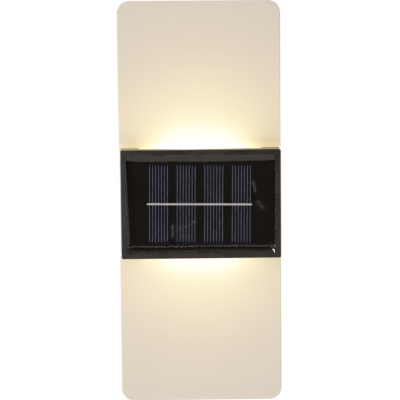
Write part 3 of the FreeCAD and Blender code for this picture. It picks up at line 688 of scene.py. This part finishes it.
def resin_rise(x, z):
    """How far the resin's skin stands in front of its pool, x and z from the tray's middle.

    At a distance d from a wall it is slope * reach * exp(-d / reach), with each wall's own
    slope and reach. The side walls' reach grows towards the bottom, the left one's up to
    the last 3 mm, and the top wall's shrinks at its ends. Along the bottom, where the
    resin ran last, a low wavering ridge is a bell of d about its own middle, and it bends
    down at its ends. The sum h is held under the rim as most * tanh(h / most).
    """
    half_x, half_z = resin_half[0], resin_half[2]
    low_share = 0.5 - 0.5 * z / half_z
    from_end = half_x - np.abs(x)
    from_bottom = half_z + z
    slow = np.sin(x / (6.0 * MM) + 0.7)
    quick = np.sin(x / (2.3 * MM) + 1.0)
    top_reach = (0.97 + 0.02 * slow - 0.3 * np.exp(-from_end / (2.5 * MM))) * MM
    bottom_reach = (1.12 + 0.09 * slow + 0.04 * quick) * MM
    left_reach = (0.02 + 0.86 * low_share ** 1.5) * MM
    left_reach = left_reach * (1.02 - np.exp(-(from_bottom / (3.4 * MM)) ** 2))
    right_reach = (0.01 + 0.115 * low_share ** 2) * MM
    # For each wall: the distance from it, the skin's slope at it, and its reach.
    walls = [
        (half_x + x, 0.6, left_reach),
        (half_x - x, 0.8, right_reach),
        (half_z - z, 1.0, top_reach),
        (from_bottom, 0.9, bottom_reach),
    ]
    rise = sum(slope * reach * np.exp(-distance / reach) for distance, slope, reach in walls)
    ridge_bend = 3.2 * np.exp(-(from_end / (1.15 * MM)) ** 2)
    ridge_middle = (2.98 + 0.12 * slow - ridge_bend) * MM
    ridge_width = 0.42 * MM
    ridge_height = 0.13 * MM
    rise += ridge_height * np.exp(-((from_bottom - ridge_middle) / ridge_width) ** 2)
    most = (resin_high[1] - resin_low[1]) - POOL_DEPTH
    return corner_webs(most * np.tanh(rise / most), from_end, from_bottom)


def resin_skin():
    """The potting resin: a flat pool whose skin climbs the four tray walls."""
    across = crowded(131) * resin_half[0]
    up = crowded(211, 1.4) * resin_half[2]
    x, z = np.meshgrid(across, up, indexing="ij")
    front = np.stack([x + resin_middle[0], resin_high[1] - POOL_DEPTH - resin_rise(x, z),
                      z + resin_middle[2]], axis=-1)
    sunk = 0.1 * MM
    back = front.copy()
    back[..., 1] = board_front + sunk
    points = np.concatenate([front.reshape(-1, 3), back.reshape(-1, 3)])
    piece = new_piece("resin_skin", points, slab_faces(len(across), len(up)),
                      finishes["clear_resin"])
    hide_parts("solar_resin")


def strip_points(x_low, x_high, z_low, z_high, y_back, height):
    """A long low strip with a crowned front: an ellipse across, tapering at its ends.

    Rows of points run along z, and each column is half an ellipse across x, so the height
    at u from -1 to 1 across and v from -1 to 1 along is
    height * sqrt(1 - u^2) * (1 - v^16).
    """
    u = np.linspace(-1.0, 1.0, 7)
    v = crowded(13)
    across, along = np.meshgrid(u, v, indexing="ij")
    crown = np.sqrt(np.clip(1.0 - across ** 2, 0.0, 1.0)) * (1.0 - along ** 16)
    x = (x_low + x_high) / 2 + across * (x_high - x_low) / 2
    z = (z_low + z_high) / 2 + along * (z_high - z_low) / 2
    return np.stack([x, y_back - height * crown, z], axis=-1)


def finger_lines():
    """The printed silver lines, seven to a strip, each a very low crowned ridge."""
    points = []
    faces = []
    width = 0.16 * MM
    height = 0.022 * MM
    sunk = 0.002 * MM
    inset = 0.55 * MM
    for low, high in cells:
        middle = (low[0] + high[0]) / 2
        for index in range(FINGERS):
            x = middle + (index - (FINGERS - 1) / 2) * FINGER_PITCH
            ridge = strip_points(x - width / 2, x + width / 2, low[2] + inset,
                                 high[2] - inset, low[1] + sunk, height)
            offset = sum(len(part) for part in points)
            faces.append(grid_faces(*ridge.shape[:2], offset))
            points.append(ridge.reshape(-1, 3))
    askew = turned(np.concatenate(points), CELLS_TILT)
    new_piece("finger_lines", askew, np.concatenate(faces), silver_print())


def ribbon_skin():
    """The ribbon as it is soldered: a flattened tube that swells a little on each cell.

    Round the ribbon the outline is a squared ellipse. Over each strip's middle its front
    rises and its sides widen by a bell, the whole wanders up and down as a sum of two
    sines, and the ends close in a half round.
    """
    around = np.linspace(0.0, 2 * math.pi, 24, endpoint=False)
    along = crowded(161)
    half_length = (ribbon_high[0] - ribbon_low[0]) / 2
    middle = (ribbon_low + ribbon_high) / 2
    half_width = (ribbon_high[2] - ribbon_low[2]) / 2
    half_depth = (ribbon_high[1] - ribbon_low[1]) / 2
    turn, share = np.meshgrid(around, along, indexing="ij")
    x = middle[0] + share * half_length
    swell_reach = 2.6 * MM
    swell_rise = 0.9
    swell_width = 0.03
    swell = np.zeros_like(x)
    for low, high in cells:
        swell += np.exp(-((x - (low[0] + high[0]) / 2) / swell_reach) ** 2)
    closing = 0.015
    into_end = np.clip((np.abs(share) - (1.0 - closing)) / closing, 0.0, 1.0)
    ends = np.sqrt(1.0 - into_end ** 2)
    wander = 0.03 * np.sin(x / (3.7 * MM)) + 0.02 * np.sin(x / (1.3 * MM) + 2.0)
    square = 0.5
    side = np.sign(np.cos(turn)) * np.abs(np.cos(turn)) ** square
    face = np.sign(np.sin(turn)) * np.abs(np.sin(turn)) ** square
    wide = 1.0 - swell_width + swell_width * swell
    z = middle[2] + half_width * (side * ends * wide + wander)
    front = half_depth * (1.0 + swell_rise * swell)
    y = middle[1] - np.where(face > 0, front, half_depth) * face * ends
    points = turned(np.stack([x, y, z], axis=-1), CELLS_TILT).reshape(-1, 3)
    rows, columns = turn.shape
    wrapped = grid_faces(rows + 1, columns) % (rows * columns)
    piece = new_piece("ribbon_skin", points, wrapped, finishes["tinned_copper"])
    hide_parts("tab_ribbon")


resin_skin()
finger_lines()
ribbon_skin()


# ---------------------------------------------------------------- the studio

FLOOR_HEIGHT = -0.35
FLOOR_HALF_WIDTH = 1.3
FLOOR_FRONT = -2.0
FLOOR_BACK = 0.9
FLOOR_GLOSS = 0.36

# The room: its colour, how bright it is in front, and what its sides and top add to that.
ROOM_TINT = (1.0, 0.93, 0.83)
DIM_FRONT = 0.06
PALE_SIDES = 0.38
PALE_TOP = 0.25


def pale_floor():
    """A plain pale floor, well below the light, which hangs as if on a wall.

    Gloss that looks down at it sees it paler than it is, and the camera sees it brighten
    to the white of the background towards its edges.
    """
    half = FLOOR_HALF_WIDTH
    points = [(-half, FLOOR_FRONT, FLOOR_HEIGHT), (half, FLOOR_FRONT, FLOOR_HEIGHT),
              (half, FLOOR_BACK, FLOOR_HEIGHT), (-half, FLOOR_BACK, FLOOR_HEIGHT)]
    mesh = bpy.data.meshes.new("floor")
    mesh.from_pydata(points, [], [(0, 1, 2, 3)])
    floor = bpy.data.objects.new("floor", mesh)
    bpy.context.collection.objects.link(floor)
    finish = Finish("pale floor", (0.8, 0.81, 0.83), 0.7)
    path = finish.add("ShaderNodeLightPath")
    gloss = Field(finish, path.outputs["Is Glossy Ray"])
    camera = Field(finish, path.outputs["Is Camera Ray"])
    x, y, z = finish.position()
    edge = (x.squared() + y.squared()).root().ramp(0.2, 0.85)
    finish.glow(WHITE, gloss * FLOOR_GLOSS + camera * edge)
    finish.link(finish.mix(camera, ROOM_TINT, WHITE), finish.shader.inputs["Emission Color"])
    mesh.materials.append(finish.material)


def softbox(name, place, width, height, power):
    """A rectangular lamp aimed at the light's middle."""
    lamp = bpy.data.lights.new(name, "AREA")
    lamp.shape = "RECTANGLE"
    lamp.size = width
    lamp.size_y = height
    lamp.energy = power
    holder = bpy.data.objects.new(name, lamp)
    bpy.context.collection.objects.link(holder)
    holder.location = place
    holder.rotation_euler = (-Vector(place)).to_track_quat("-Z", "Y").to_euler()


def studio_world():
    """Even warm grey light, paler from above, but for the dim middle of the room in front.

    The camera sees plain white, and so do gloss and clear resin that look to the back.
    """
    world = bpy.data.worlds.new("studio")
    world.use_nodes = True
    bpy.context.scene.world = world
    bench = Bench(world.node_tree, "Generated")
    x, y, z = bench.position()
    room = DIM_FRONT + y.ramp(-0.97, -0.75) * PALE_SIDES
    room = room + z.ramp(0.25, 0.6) * PALE_TOP
    path = bench.add("ShaderNodeLightPath")
    camera, gloss, clear = (Field(bench, path.outputs["Is %s Ray" % kind])
                            for kind in ("Camera", "Glossy", "Transmission"))
    white = camera.largest(gloss.largest(clear) * y.ramp(-0.05, 0.25))
    background = bench.nodes["Background"]
    bench.link(bench.mix(white, ROOM_TINT, WHITE), background.inputs["Color"])
    bench.link((room + white * (1.0 - room)).socket, background.inputs["Strength"])


def photo_camera():
    """The camera of the photograph: a little above, a little to the left, long lens."""
    place = Vector((-7.6, -510.5, 40.1)) * MM
    swung = math.radians(-0.864)
    raised = math.radians(4.61)
    rolled = math.radians(-0.52)
    image_width = 400
    focal_pixels = 1226.4
    sensor = 36.0
    back = Vector((math.sin(swung) * math.cos(raised), -math.cos(swung) * math.cos(raised),
                   math.sin(raised)))
    right = (-back).cross(Vector((0, 0, 1))).normalized()
    up = right.cross(-back)
    tilted_right = right * math.cos(rolled) + up * math.sin(rolled)
    tilted_up = up * math.cos(rolled) - right * math.sin(rolled)
    lens = bpy.data.cameras.new("photo camera")
    lens.sensor_width = sensor
    lens.lens = focal_pixels / image_width * sensor
    lens.clip_start = 0.01
    camera = bpy.data.objects.new("photo camera", lens)
    bpy.context.collection.objects.link(camera)
    turn = Matrix((tilted_right, tilted_up, back)).transposed().to_4x4()
    camera.matrix_world = Matrix.Translation(place) @ turn
    bpy.context.scene.camera = camera


pale_floor()
softbox("left softbox", (-0.75, -0.85, -0.02), 1.4, 0.65, 6.3)
softbox("right softbox", (0.7, -0.833, -0.02), 1.4, 0.75, 2.25)
softbox("small lamp", (-0.46, -0.79, 0.42), 0.07, 0.07, 0.4)
softbox("back softbox", (0.35, 0.95, 0.4), 1.2, 0.8, 3.1)
studio_world()
photo_camera()
bpy.context.scene.view_settings.view_transform = "Standard"
